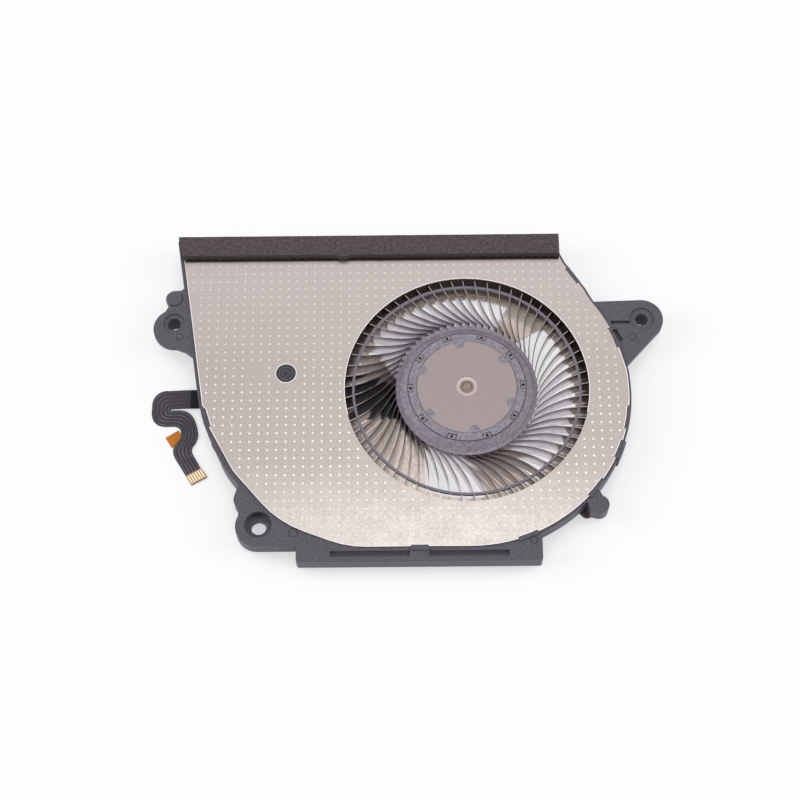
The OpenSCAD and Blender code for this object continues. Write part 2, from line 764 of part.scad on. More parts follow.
module stator_plan(z, h, shoe_out, width) {
    difference() {
        union() {
            disc(z, h, core_in_r + core_hub_w);
            for (i = [0:tooth_n - 1]) {
                rotate([0, 0, i * 360 / tooth_n]) translate([core_in_r, -width / 2, z])
                    cube([shoe_in_r + shoe_t / 2 - core_in_r, width, h]);
            }
            intersection() {
                tube(z, h, shoe_out, shoe_in_r);
                for (i = [0:tooth_n - 1]) {
                    rotate([0, 0, i * 360 / tooth_n]) prism(z, h, [[0, 0],
                        turn(-shoe_half, 2 * stator_r), turn(shoe_half, 2 * stator_r)]);
                }
            }
        }
        disc(z - cut, h + 2 * cut, core_in_r);
    }
}

module stator_core() {
    color("#7E7C80") stator_plan(z_core, core_h, stator_r, tooth_w);
}

module insulator_lower() {
    color("#3C4A46") stator_plan(z_core - insulator_t, insulator_t, stator_r - shoe_t / 3, tooth_w);
}

module insulator_upper() {
    color("#3C4A46") stator_plan(z_core + core_h, insulator_t, stator_r - shoe_t / 3, tooth_w);
}

// One winding round the tooth at number i
module coil(i) {
    w = tooth_w + 2 * fit;
    h = core_h + 2 * insulator_t + 2 * fit;
    x0 = core_in_r + core_hub_w + coil_gap;
    x1 = shoe_in_r - coil_gap;
    ring = [[w / 2 + coil_t, -h / 2 - coil_t, coil_t], [w / 2 + coil_t, h / 2 + coil_t, coil_t],
        [-w / 2 - coil_t, h / 2 + coil_t, coil_t], [-w / 2 - coil_t, -h / 2 - coil_t, coil_t]];
    color("#B5682F") {
        rotate([0, 0, i * 360 / tooth_n]) translate([x0, 0, z_mid]) rotate([90, 0, 90]) {
            difference() {
                linear_extrude(x1 - x0) polygon(rounded(ring));
                translate([-w / 2, -h / 2, -cut]) cube([w, h, x1 - x0 + 2 * cut]);
            }
        }
    }
}

// Flexible circuit inside the case
flex_disc_r = 8.6;
flex_top_y = 1.8;
// Where the strip narrows, where the tail takes over inside the wall, and where it is out
// of the case, as shares of case_r
flex_narrow_share = [-1.02, -1.18];
flex_end_share = -1.615;
tail_out_share = -1.722;
flex_start_share = -0.2;
flex_post_gap = 0.25;

module motor_flex() {
    x = [flex_start_share * case_r, flex_narrow_share[0] * case_r, flex_narrow_share[1] * case_r,
        flex_end_share * case_r];
    color("#3A363C") {
        difference() {
            union() {
                disc(base_t, flex_t, flex_disc_r);
                prism(base_t, flex_t, [[x[0], flex_top_y - flex_w], [x[0], flex_top_y],
                    [x[2], flex_top_y], [x[2], exit_y[1]], [x[3], exit_y[1]], [x[3], exit_y[0]],
                    [x[2], exit_y[0]], [x[1], flex_top_y - flex_w]]);
            }
            disc(base_t - cut, flex_t + 2 * cut, housing_r + foot_w + fit);
            at_share(post_share) disc(base_t - cut, flex_t + 2 * cut, post_foot_r + flex_post_gap);
        }
    }
}

chip_w = 2.6;
chip_r = 5.4;
chip_turn = 210;
capacitor_size = [0.9, 0.5, 0.3];
capacitor_turn = [150, 270];

module driver_chip() {
    color("#1F1E22") rotate([0, 0, chip_turn])
        translate([chip_r - chip_w / 2, -chip_w / 2, z_flex]) cube([chip_w, chip_w, chip_h]);
}

module chip_capacitors() {
    color("#A98F6E") {
        for (a = capacitor_turn) {
            rotate([0, 0, a]) translate([chip_r, -capacitor_size[1] / 2, z_flex])
                cube(capacitor_size);
        }
    }
}

// Tail. It leaves the wall level, drops to the table and lies flat.
tape_t = 0.06;
tape_l = 1.45;
level_l = 1.5;
z_lie = 0.1;
tail_x = tail_out_share * case_r;
tape_out_share = -1.741;
// Outline of the flat part of the tail, from the place where it leaves the case
tail_points = [[-5.1, 1.75], [-5.1, -2.05], [-4.6, -2.1], [-4.6, -2.2], [-1.9, -2.2], [0.1, -3.5],
    [1.2, -6.4], [1.0, -8.5], [0.1, -9.9], [0.2, -11.0], [1.8, -13.8], [-0.9, -15.3],
    [-3.4, -11.3], [-3.4, -9.8], [-2.1, -7.8], [-2.1, -6.6], [-3.3, -5.5], [-5.4, -5.5],
    [-7.8, -3.1], [-7.8, -0.6], [-5.6, 1.75]];
tail_round = [0, 0, 0, 0, 2.4, 1.6, 3, 1, 1.5, 1, 0, 0, 2, 2, 1.6, 1.3, 1.3, 2.2, 2.2, 2.2, 2.2];
// Corners of the contact end, with its ear, and of the pull tab under the strip
contact_end_points = [[1.8, -13.8], [2.35, -14.65], [2.6, -14.55], [3.3, -15.65], [0.35, -17.35],
    [-0.9, -15.3]];
pull_tab_points = [[-2.6, -6.2], [-5.0, -7.7], [-3.7, -9.8], [-1.3, -8.3]];
tab_t = 0.08;
pad_gap_share = 0.3;
pad_height = 0.03;
contact_back_share = 0.12;
contact_l = 2.3;

module flex_tail() {
    x1 = tail_x - level_l;
    x2 = tail_x + tail_points[0][0];
    color("#58545C") {
        translate([0, exit_y[1], 0]) rotate([90, 0, 0]) linear_extrude(exit_y[1] - exit_y[0])
            polygon([[flex_end_share * case_r, base_t], [flex_end_share * case_r, z_flex],
                [x1, z_flex], [x2, z_lie + flex_t], [x2, z_lie], [x1, base_t]]);
        translate([tail_x, 0, 0]) prism(z_lie, flex_t, rounded([for (i = [0:len(tail_points) - 1])
            [tail_points[i][0], tail_points[i][1], tail_round[i]]]));
    }
}

module exit_tape() {
    color("#26242A") translate([tape_out_share * case_r, exit_y[0], z_flex])
        cube([tape_l, exit_y[1] - exit_y[0], tape_t]);
}

module contact_end() {
    color("#B89870") translate([tail_x, 0, 0]) prism(z_lie, flex_t, contact_end_points);
}

module contact_pads() {
    a = contact_end_points[0];
    b = contact_end_points[5];
    along = unit(contact_end_points[1] - a);
    across = unit(b - a);
    margin = (norm(b - a) - contact_n * contact_pitch) / 2;
    color("#F0D3A8") translate([tail_x, 0, 0]) {
        for (i = [0:contact_n - 1]) {
            p = a + across * (margin + contact_pitch * (i + pad_gap_share / 2));
            q = p + across * contact_pitch * (1 - pad_gap_share);
            s = along * contact_l * contact_back_share;
            e = along * contact_l * (1 - contact_back_share);
            prism(z_lie + flex_t, pad_height, [p + s, p + e, q + e, q + s]);
        }
    }
}

module pull_tab() {
    color("#C77F35") translate([tail_x, 0, 0]) prism(z_lie - tab_t, tab_t, pull_tab_points);
}

base_plate();
frame();
cover();
foam_gasket();
support_post();
impeller_hub();
impeller_blades();
blade_ring();
rotor_cap();
ring_magnet();
shaft();
shaft_bush();
bearing_sleeve();
bearing_housing();
thrust_pad();
oil_seal();
stator_core();
insulator_lower();
insulator_upper();
coil(1);  // coil_1
coil(2);  // coil_2
coil(3);  // coil_3
coil(4);  // coil_4
coil(5);  // coil_5
coil(6);  // coil_6
motor_flex();
driver_chip();
chip_capacitors();
exit_tape();
flex_tail();
contact_end();
contact_pads();
pull_tab();
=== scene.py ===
import math
import bpy
from mathutils import Matrix, Vector


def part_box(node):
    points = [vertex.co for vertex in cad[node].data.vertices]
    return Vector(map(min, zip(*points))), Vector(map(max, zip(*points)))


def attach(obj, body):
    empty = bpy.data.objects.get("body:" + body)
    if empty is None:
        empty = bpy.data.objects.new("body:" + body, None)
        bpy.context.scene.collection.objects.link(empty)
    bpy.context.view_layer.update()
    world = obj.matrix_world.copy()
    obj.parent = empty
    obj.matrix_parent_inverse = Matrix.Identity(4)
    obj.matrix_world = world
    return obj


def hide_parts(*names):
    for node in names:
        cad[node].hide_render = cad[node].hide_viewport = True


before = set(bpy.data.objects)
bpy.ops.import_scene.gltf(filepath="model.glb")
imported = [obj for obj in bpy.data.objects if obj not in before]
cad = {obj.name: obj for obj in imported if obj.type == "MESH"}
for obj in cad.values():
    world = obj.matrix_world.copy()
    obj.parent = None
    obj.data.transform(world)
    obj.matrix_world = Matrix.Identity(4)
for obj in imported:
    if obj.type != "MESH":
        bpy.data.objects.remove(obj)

bpy.context.scene.view_settings.view_transform = 'Standard'
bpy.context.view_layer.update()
bpy.ops.object.select_all(action='DESELECT')
mm = 0.001

# Camera. It stands in front of the blower, about 33 cm away, and looks down on it
# 24 degrees off the vertical through a 79 mm lens.
camera_right = (0.99995, -0.00670, -0.00711)
camera_up = (0.00903, 0.91163, 0.41091)
camera_back = (0.00373, -0.41095, 0.91165)
camera_place = (-0.01117, -0.13492, 0.29846)
camera_lens = bpy.data.cameras.new("camera")
camera_lens.lens = 78.70
camera_lens.sensor_width = 36
camera_lens.clip_start = 0.01
camera = bpy.data.objects.new("camera", camera_lens)
camera.matrix_world = Matrix([[camera_right[i], camera_up[i], camera_back[i], camera_place[i]]
                              for i in range(3)] + [[0, 0, 0, 1]])
bpy.context.scene.collection.objects.link(camera)
bpy.context.scene.camera = camera


# Table and light. The blower lies on a plain white table in a pale room. A wide window on either
# side and a small ceiling light above and behind it give the soft highlights.
def linear(colour):
    """Turns an sRGB hex value into the linear colour that the shaders take."""
    parts = [int(colour[i:i + 2], 16) / 255 for i in (1, 3, 5)]
    return tuple(p / 12.92 if p <= 0.04045 else ((p + 0.055) / 1.055) ** 2.4 for p in parts) + (1,)


def add_node(tree, kind, sockets, **settings):
    """Adds a shader node. Each socket gets a value, or a link from another node's output."""
    node = tree.nodes.new(kind)
    for name, value in settings.items():
        setattr(node, name, value)
    for name, value in sockets.items():
        if isinstance(value, bpy.types.NodeSocket):
            tree.links.new(value, node.inputs[name])
        else:
            node.inputs[name].default_value = value
    return node


def new_material(name, roughness, metallic=0.0, ior=1.5):
    """Starts a material from its real substance. Gives it, its node tree and its shader."""
    material = bpy.data.materials.new(name)
    material.use_nodes = True
    shader = material.node_tree.nodes["Principled BSDF"]
    shader.inputs["Roughness"].default_value = roughness
    shader.inputs["Metallic"].default_value = metallic
    shader.inputs["IOR"].default_value = ior
    return material, material.node_tree, shader


def in_view(tree):
    """Gives 1 where the camera looks, also by way of a mirror, and 0 for light on its way."""
    ray = add_node(tree, "ShaderNodeLightPath", {})
    seen = add_node(tree, "ShaderNodeMath", {
        0: ray.outputs["Is Camera Ray"], 1: ray.outputs["Is Glossy Ray"]}, operation='MAXIMUM')
    seen = add_node(tree, "ShaderNodeMath", {
        0: seen.outputs[0], 1: ray.outputs["Is Transmission Ray"]}, operation='MAXIMUM')
    return seen.outputs[0]


table_w = 6000
table_gap = 0.02
table_glow = 0.803
table_shade = 0.215
hole_share = 0.35
beside_share = 0.78
sky_reach = 8
fan_reach = 23
bpy.ops.mesh.primitive_plane_add(size=table_w * mm, location=(0, 0, -table_gap * mm))
table = bpy.context.object
table.name = "table"
bpy.ops.object.transform_apply(location=True, rotation=True, scale=True)
white_table, tree, shader = new_material("white laminate table", 0.6)
shader.inputs["Base Color"].default_value = linear("#FDFDFD")
shader.inputs["Specular IOR Level"].default_value = 0.0
shade = add_node(tree, "ShaderNodeBsdfDiffuse", {"Color": (table_shade,) * 3 + (1,)})
# The table lies in shadow down a deep narrow hole and close beside the case, but not under the fan
open_sky = add_node(tree, "ShaderNodeAmbientOcclusion", {"Distance": sky_reach * mm}, samples=8)
lit = add_node(tree, "ShaderNodeMapRange", {
    0: open_sky.outputs["AO"], 1: 0.04, 2: 0.12, 3: hole_share * table_glow, 4: table_glow})
beside = add_node(tree, "ShaderNodeMapRange", {
    0: open_sky.outputs["AO"], 1: 0.48, 2: 0.66, 3: beside_share, 4: 1.0})
spot = add_node(tree, "ShaderNodeTexCoord", {})
from_axis = add_node(tree, "ShaderNodeVectorMath", {0: spot.outputs["Object"]}, operation='LENGTH')
under_fan = add_node(tree, "ShaderNodeMath", {
    0: from_axis.outputs["Value"], 1: fan_reach * mm}, operation='LESS_THAN')
beside = add_node(tree, "ShaderNodeMath", {
    0: beside.outputs[0], 1: under_fan.outputs[0]}, operation='MAXIMUM')
lit = add_node(tree, "ShaderNodeMath", {
    0: lit.outputs[0], 1: beside.outputs[0]}, operation='MULTIPLY')
glow = add_node(tree, "ShaderNodeEmission", {
    "Color": linear("#FEFCFF"), "Strength": lit.outputs[0]})
pale = add_node(tree, "ShaderNodeAddShader", {0: shade.outputs[0], 1: glow.outputs[0]})
surface = add_node(tree, "ShaderNodeMixShader", {
    0: in_view(tree), 1: shader.outputs[0], 2: pale.outputs[0]})
tree.links.new(surface.outputs[0], tree.nodes["Material Output"].inputs["Surface"])
table.data.materials.append(white_table)
table.select_set(False)

room_light = 0.36
room_seen = 1.0
world = bpy.data.worlds.new("pale studio room")
bpy.context.scene.world = world
world.use_nodes = True
tree = world.node_tree
tree.nodes.clear()
strength = add_node(tree, "ShaderNodeMix", {0: in_view(tree), 2: room_light, 3: room_seen})
background = add_node(tree, "ShaderNodeBackground", {
    0: linear("#FFFFFF"), 1: strength.outputs[0]})
add_node(tree, "ShaderNodeOutputWorld", {0: background.outputs[0]})

# Each lamp's place and size in m, and its power in W
for name, place, size, power in (("left window", (-1.6, 0.0, 1.0), 1.1, 22.0),
                                 ("right window", (1.6, 0.0, 1.0), 1.1, 17.0),
                                 ("ceiling light", (0.02, 0.23, 0.95), 0.22, 0.25)):
    lamp_data = bpy.data.lights.new(name, 'AREA')
    lamp_data.size = size
    lamp_data.energy = power
    lamp = bpy.data.objects.new(name, lamp_data)
    # The windows don't mirror in the steel, which would turn white when seen from the side
    lamp.visible_glossy = "window" not in name
    lamp.matrix_world = (Matrix.Translation(place)
                         @ Vector(place).to_track_quat('Z', 'Y').to_matrix().to_4x4())
    bpy.context.scene.collection.objects.link(lamp)


# Flex tail. A flat printed circuit of polyimide film, cut in an S, that leaves the case through
# a slot in its wall, drops to the table and ends in a beige stiffener with gold contacts.
# Each row is a place on its two edges and the height of its top, in mm.
tail_rows = [
    (-47.8, 1.75, -47.8, -2.0, 0.6), (-51.0, 1.75, -51.0, -2.0, 0.6),
    (-52.5, 1.75, -52.5, -2.0, 0.6), (-54.0, 1.75, -54.0, -2.0, 0.46),
    (-55.4, 1.75, -54.9, -2.0, 0.32), (-56.6, 1.74, -55.2, -2.02, 0.25),
    (-57.6, 1.28, -55.26, -2.04, 0.25), (-58.35, 0.45, -55.29, -2.06, 0.25),
    (-58.69, -0.6, -55.3, -2.08, 0.25), (-58.72, -1.8, -55.3, -2.1, 0.25),
    (-58.72, -3.0, -55.3, -2.12, 0.25), (-58.33, -4.3, -55.28, -2.12, 0.25),
    (-57.4, -5.2, -55.2, -2.17, 0.25), (-56.3, -5.49, -54.9, -2.2, 0.25),
    (-55.2, -5.5, -54.1, -2.2, 0.25), (-54.3, -5.5, -53.1, -2.25, 0.25),
    (-53.6, -5.8, -52.1, -2.55, 0.25), (-53.2, -6.3, -51.2, -3.3, 0.25),
    (-53.1, -7.0, -50.45, -4.7, 0.25), (-53.15, -7.75, -50.0, -6.3, 0.25),
    (-53.5, -8.4, -49.9, -7.7, 0.25), (-54.0, -9.15, -50.3, -8.95, 0.25),
    (-54.35, -9.9, -50.85, -9.85, 0.25), (-54.35, -10.9, -50.85, -10.75, 0.25),
    (-53.9, -12.0, -50.4, -11.7, 0.25), (-52.9, -13.65, -49.75, -12.8, 0.25),
    (-51.9, -15.3, -49.2, -13.8, 0.25), (-51.35, -16.2, -48.5, -14.7, 0.25),
    (-50.65, -17.3, -47.85, -15.7, 0.25)]
film_t = 0.15
stiffener_l = 2.3
columns = 16
steps = 5


def between_rows(a, b, c, d, t):
    """A smooth step from row b to row c, at share t of the way."""
    return [0.5 * (2 * q + (r - p) * t + (2 * p - 5 * q + 4 * r - s) * t * t
                   + (3 * q - p - 3 * r + s) * t ** 3)
            for p, q, r, s in zip(a, b, c, d)]


fine_rows = []
for i in range(len(tail_rows) - 1):
    a, b = tail_rows[max(i - 1, 0)], tail_rows[i]
    c, d = tail_rows[i + 1], tail_rows[min(i + 2, len(tail_rows) - 1)]
    fine_rows += [between_rows(a, b, c, d, step / steps) for step in range(steps)]
fine_rows.append(tail_rows[-1])
tail_path = [Vector(((r[0] + r[2]) / 2, (r[1] + r[3]) / 2, r[4] - film_t / 2)) * mm
             for r in fine_rows]
tail_run = [0.0]
for p, q in zip(tail_path, tail_path[1:]):
    tail_run.append(tail_run[-1] + (q - p).length)
across_count = columns + 1
points = [(Vector((r[0], r[1], r[4])) * (1 - k / columns)
           + Vector((r[2], r[3], r[4])) * (k / columns)) * mm
          for r in fine_rows for k in range(across_count)]
corners = [i * across_count + k for i in range(len(fine_rows) - 1) for k in range(columns)]
faces = [(n, n + across_count, n + across_count + 1, n + 1) for n in corners]
tail_mesh = bpy.data.meshes.new("tail_film")
tail_mesh.from_pydata(points, [], faces)
tail_uv = tail_mesh.uv_layers.new(name="along")
for face in tail_mesh.polygons:
    for corner, vertex in zip(face.loop_indices, face.vertices):
        row, column = divmod(vertex, across_count)
        tail_uv.data[corner].uv = (column / columns, (tail_run[-1] - tail_run[row]) / mm)
tail = bpy.data.objects.new("tail_film", tail_mesh)
bpy.context.scene.collection.objects.link(tail)
bpy.context.view_layer.objects.active = tail
tail.select_set(True)
film = tail.modifiers.new("film", 'SOLIDIFY')
film.thickness = film_t * mm
film.offset = -1
bpy.ops.object.modifier_apply(modifier="film")
bpy.ops.object.shade_smooth_by_angle(angle=math.radians(35))
tail.select_set(False)

# Polyimide film with copper tracks under it: the film is dark and glossy, and each track lifts it a
# little. A thin bright line along each track's edge is a painted highlight, patchy along the film.
track_count = 5
line_share = 0.07
track_h = 0.02
fade_start = 15.0
fade_end = 23.0
film_material, tree, shader = new_material("polyimide film over copper tracks", 0.3, ior=1.6)
along = add_node(tree, "ShaderNodeUVMap", {}, uv_map="along")
across = add_node(tree, "ShaderNodeSeparateXYZ", {0: along.outputs[0]})
wander = add_node(tree, "ShaderNodeTexNoise", {
    "Vector": along.outputs[0], "Scale": 0.45, "Detail": 1.0})
track_place = add_node(tree, "ShaderNodeMath", {
    0: across.outputs["X"], 1: track_count}, operation='MULTIPLY')
track_share = add_node(tree, "ShaderNodeMath", {0: track_place.outputs[0]}, operation='FRACT')
track_side = add_node(tree, "ShaderNodeMath", {
    0: track_share.outputs[0], 1: 0.5}, operation='SUBTRACT')
track_side = add_node(tree, "ShaderNodeMath", {0: track_side.outputs[0]}, operation='ABSOLUTE')
line = add_node(tree, "ShaderNodeMapRange", {
    0: track_side.outputs[0], 1: 0.0, 2: line_share, 3: 1.0, 4: 0.0},
    interpolation_type='SMOOTHSTEP')
glint_patches = add_node(tree, "ShaderNodeMapRange", {
    0: wander.outputs[0], 1: 0.42, 2: 0.62, 3: 0.25, 4: 1.0})
# The painted track highlights fade towards the case, by the distance in mm from the film's far end
near_case = add_node(tree, "ShaderNodeMapRange", {
    0: across.outputs["Y"], 1: fade_start, 2: fade_end, 3: 1.0, 4: 0.3})
track_highlight = add_node(tree, "ShaderNodeMath", {
    0: line.outputs[0], 1: glint_patches.outputs[0]}, operation='MULTIPLY')
track_highlight = add_node(tree, "ShaderNodeMath", {
    0: track_highlight.outputs[0], 1: near_case.outputs[0]}, operation='MULTIPLY')
# The pale colour is the painted highlight along the tracks
film_colour = add_node(tree, "ShaderNodeMix", {
    0: track_highlight.outputs[0], 6: linear("#433E46"), 7: linear("#CBC8CE")}, data_type='RGBA')
stiff = add_node(tree, "ShaderNodeMath", {
    0: across.outputs["Y"], 1: stiffener_l}, operation='LESS_THAN')
all_colour = add_node(tree, "ShaderNodeMix", {
    0: stiff.outputs[0], 6: film_colour.outputs[2], 7: linear("#A88B68")}, data_type='RGBA')
tree.links.new(all_colour.outputs[2], shader.inputs["Base Color"])
lift = add_node(tree, "ShaderNodeBump", {
    "Height": line.outputs[0], "Distance": track_h * mm, "Strength": 0.6})
tree.links.new(lift.outputs[0], shader.inputs["Normal"])
shader.inputs["Specular IOR Level"].default_value = 0.2
tail.data.materials.append(film_material)
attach(tail, "case")
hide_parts("flex_tail", "contact_end")


# Contacts, pull tab and tape on the tail. The contacts are plated with gold, the tab is clear amber
# polyimide, and the tape is matt black.
def two_tone(name, low, high, per_mm, roughness, metallic=0.0, ior=1.5, specular=0.5, detail=2.0,
             grit=0.5):
    """Makes a material that is mottled between two colours, with so many grains to a mm."""
    material, tree, shader = new_material(name, roughness, metallic, ior)
    grain = add_node(tree, "ShaderNodeTexCoord", {})
    mottle = add_node(tree, "ShaderNodeTexNoise", {
        "Vector": grain.outputs["Object"], "Scale": per_mm / mm, "Detail": detail,
        "Roughness": grit})
    tint = add_node(tree, "ShaderNodeMix", {
        0: mottle.outputs[0], 6: linear(low), 7: linear(high)}, data_type='RGBA')
    tree.links.new(tint.outputs[2], shader.inputs["Base Color"])
    shader.inputs["Specular IOR Level"].default_value = specular
    return material


def paint(material, *nodes):
    """Gives these nodes their material."""
    for node in nodes:
        cad[node].material_slots[0].material = material


paint(two_tone("gold plating", "#F8E4C6", "#EACFA8", 2.5, 0.28, metallic=1.0), "contact_pads")
paint(two_tone("amber polyimide film", "#D8841C", "#BE6A14", 0.9, 0.3, ior=1.7, specular=0.25),
      "pull_tab")
paint(two_tone("matt black tape", "#121013", "#1E1B1F", 1.5, 0.5, specular=0.2), "exit_tape")

# Base. A stamped steel sheet with three air openings and a raised bead round them. The steel is
# rolled and left bare, so it is warm grey and has a fine satin grain.
shade_start = 21.0
shade_full = 23.5


def plan_distance(tree, grain, middle=(0, 0)):
    """Gives the distance, seen from above, from the spin axis or another middle in mm."""
    flat = add_node(tree, "ShaderNodeVectorMath", {
        0: grain.outputs["Object"], 1: (1, 1, 0)}, operation='MULTIPLY')
    away = add_node(tree, "ShaderNodeVectorMath", {
        0: flat.outputs[0], 1: (middle[0] * mm, middle[1] * mm, 0)}, operation='DISTANCE')
    return away.outputs["Value"]


# The rolled grain is too fine to show, so it is drawn about 0.6 mm wide
rolled_steel, tree, shader = new_material("rolled stainless steel", 0.42, metallic=1.0)
grain = add_node(tree, "ShaderNodeTexCoord", {})
sheet_grain = add_node(tree, "ShaderNodeTexNoise", {
    "Vector": grain.outputs["Object"], "Scale": 1.6 / mm, "Detail": 3.0})
cloud = add_node(tree, "ShaderNodeTexNoise", {
    "Vector": grain.outputs["Object"], "Scale": 0.09 / mm, "Detail": 3.0})
bare_steel = add_node(tree, "ShaderNodeMix", {
    0: cloud.outputs[0], 6: linear("#DDD0C7"), 7: linear("#C9BBB2")}, data_type='RGBA')
# Painted shade darkens it beyond the blades, under the cover, and it is less metallic there
painted_shade_under_cover = add_node(tree, "ShaderNodeMapRange", {
    0: plan_distance(tree, grain), 1: shade_start * mm, 2: shade_full * mm, 3: 0.0, 4: 1.0},
    interpolation_type='SMOOTHSTEP')
tint = add_node(tree, "ShaderNodeMix", {
    0: painted_shade_under_cover.outputs[0], 6: bare_steel.outputs[2], 7: linear("#7E736C")}, data_type='RGBA')
tree.links.new(tint.outputs[2], shader.inputs["Base Color"])
rough = add_node(tree, "ShaderNodeMapRange", {
    0: sheet_grain.outputs[0], 1: 0.3, 2: 0.7, 3: 0.26, 4: 0.4})
tree.links.new(rough.outputs[0], shader.inputs["Roughness"])
bright_metal = add_node(tree, "ShaderNodeMapRange", {
    0: painted_shade_under_cover.outputs[0], 1: 0.0, 2: 1.0, 3: 1.0, 4: 0.2})
tree.links.new(bright_metal.outputs[0], shader.inputs["Metallic"])
paint(rolled_steel, "base_plate")

# Motor flex, driver chip and capacitors. The same film as the tail lies on the base under the
# motor, with a matt black overlay. The capacitors are blocks of fired ceramic.
paint(two_tone("black overlay film", "#232026", "#35313A", 0.7, 0.4, ior=1.6),
      "motor_flex", "driver_chip")
paint(two_tone("capacitor ceramic", "#B1946F", "#9A7F60", 3.0, 0.45), "chip_capacitors")

# Frame. Black glass-filled nylon, moulded in one piece with the ears and the slotted bar. Its
# surface is spark-eroded, so it is matt and mottled, with tiny bright flecks of glass. They are too
# fine to show, so they are drawn about 0.3 mm wide.
corner_r = 0.12
fleck_h = 0.02
nylon, tree, shader = new_material("glass-filled nylon", 0.5, ior=1.53)
grain = add_node(tree, "ShaderNodeTexCoord", {})
flecks = add_node(tree, "ShaderNodeTexNoise", {
    "Vector": grain.outputs["Object"], "Scale": 3.4 / mm, "Detail": 3.0, "Roughness": 0.6})
cloud = add_node(tree, "ShaderNodeTexNoise", {
    "Vector": grain.outputs["Object"], "Scale": 0.26 / mm, "Detail": 3.0})
fleck = add_node(tree, "ShaderNodeMapRange", {
    0: flecks.outputs[0], 1: 0.4, 2: 0.7, 3: 0.0, 4: 1.0})
ground = add_node(tree, "ShaderNodeMix", {
    0: cloud.outputs[0], 6: linear("#46424B"), 7: linear("#4C4852")}, data_type='RGBA')
tint = add_node(tree, "ShaderNodeMix", {
    0: fleck.outputs[0], 6: ground.outputs[2], 7: linear("#65616C")}, data_type='RGBA')
tree.links.new(tint.outputs[2], shader.inputs["Base Color"])
edge_round = add_node(tree, "ShaderNodeBevel", {"Radius": corner_r * mm}, samples=4)
skin = add_node(tree, "ShaderNodeBump", {
    "Height": flecks.outputs[0], "Distance": fleck_h * mm, "Strength": 0.5,
    "Normal": edge_round.outputs[0]})
tree.links.new(skin.outputs[0], shader.inputs["Normal"])
paint(nylon, "frame")

# Post. A dark moulded post that keeps cover and base apart in the outlet, with a dimple in its end.
# Its mould was turned, which leaves fine rings round the post's middle.
post_middle = (-33.48, 2.99)
ring_pitch = 0.62
ring_h = 0.04
post_nylon, tree, shader = new_material("dark nylon", 0.42, ior=1.53)
grain = add_node(tree, "ShaderNodeTexCoord", {})
mottle = add_node(tree, "ShaderNodeTexNoise", {
    "Vector": grain.outputs["Object"], "Scale": 1.4 / mm, "Detail": 3.0})
post_skin = add_node(tree, "ShaderNodeMix", {
    0: mottle.outputs[0], 6: linear("#1B181E"), 7: linear("#37333D")}, data_type='RGBA')
ring_wave = add_node(tree, "ShaderNodeMath", {
    0: plan_distance(tree, grain, post_middle), 1: 2 * math.pi / (ring_pitch * mm)},
    operation='MULTIPLY')
ring_wave = add_node(tree, "ShaderNodeMath", {0: ring_wave.outputs[0]}, operation='COSINE')
ring_share = add_node(tree, "ShaderNodeMapRange", {
    0: ring_wave.outputs[0], 1: 0.2, 2: 1.0, 3: 0.0, 4: 0.55})
tint = add_node(tree, "ShaderNodeMix", {
    0: ring_share.outputs[0], 6: post_skin.outputs[2], 7: linear("#6A6672")}, data_type='RGBA')
tree.links.new(tint.outputs[2], shader.inputs["Base Color"])
ring_lift = add_node(tree, "ShaderNodeBump", {
    "Height": ring_wave.outputs[0], "Distance": ring_h * mm, "Strength": 0.6})
tree.links.new(ring_lift.outputs[0], shader.inputs["Normal"])
paint(post_nylon, "support_post")

# Cover. Thin stainless sheet, laser-cut and dotted all over with a grid of small dimples, whose
# brightness is a painted highlight.
# The sheet has a fine even satin grain, drawn coarse enough to show. It has no dimples at its edge,
# round the inlet and the post, or on a spot beside the post.
dot_pitch = 1.65
dot_start = (-0.31, 0.84)
dot_r = 0.2
dot_blur = 0.05
dot_margin = 0.8
scroll_middle = (0, -1.1)
scroll_radius = 29.85
scroll_back_y = 20
# Each bare spot is its middle and its reach
bare_spots = (((0, 0), 23.3), (post_middle, 3.0), ((-38.9, 3.3), 2.2))
# Each straight edge is a point on it and the direction inwards
straight_edges = (((-51.2, 13.0), (0.989, 0.147)), ((-44.9, -12.2), (0.879, 0.477)),
                  ((-39.6, -20.0), (0.762, 0.648)), ((-29.9, -27.95), (0.359, 0.933)),
                  ((22.4, 20.2), (-0.836, -0.548)))
# Changes along the sheet go from the first of these places to the second
front_dot_fade_y = (-27, -17)
outlet_dot_fade_y = (-8, 14)
painted_light_y = (2, 22)
front_brightening_y = (-15, -26)
dimple_h = 0.05
satin_h = 0.01


def dots(tree, grain, brightness):
    """Gives the grid of dimples, 0 between them and up to the brightness inside them, a painted
    highlight.
    """
    place = add_node(tree, "ShaderNodeVectorMath", {
        0: grain.outputs["Object"], 1: (1 / (dot_pitch * mm),) * 3,
        2: (0.5 - dot_start[0] / dot_pitch, 0.5 - dot_start[1] / dot_pitch, 0)},
        operation='MULTIPLY_ADD')
    cell = add_node(tree, "ShaderNodeVectorMath", {0: place.outputs[0]}, operation='FRACTION')
    from_dot = add_node(tree, "ShaderNodeVectorMath", {
        0: cell.outputs[0], 1: (dot_pitch, dot_pitch, 0),
        2: (-dot_pitch / 2, -dot_pitch / 2, 0)}, operation='MULTIPLY_ADD')
    distance = add_node(tree, "ShaderNodeVectorMath", {0: from_dot.outputs[0]},
                        operation='LENGTH')
    dot = add_node(tree, "ShaderNodeMapRange", {
        0: distance.outputs["Value"], 1: dot_r - dot_blur, 2: dot_r + dot_blur,
        3: brightness, 4: 0.0}, interpolation_type='SMOOTHSTEP')
    return dot.outputs[0]


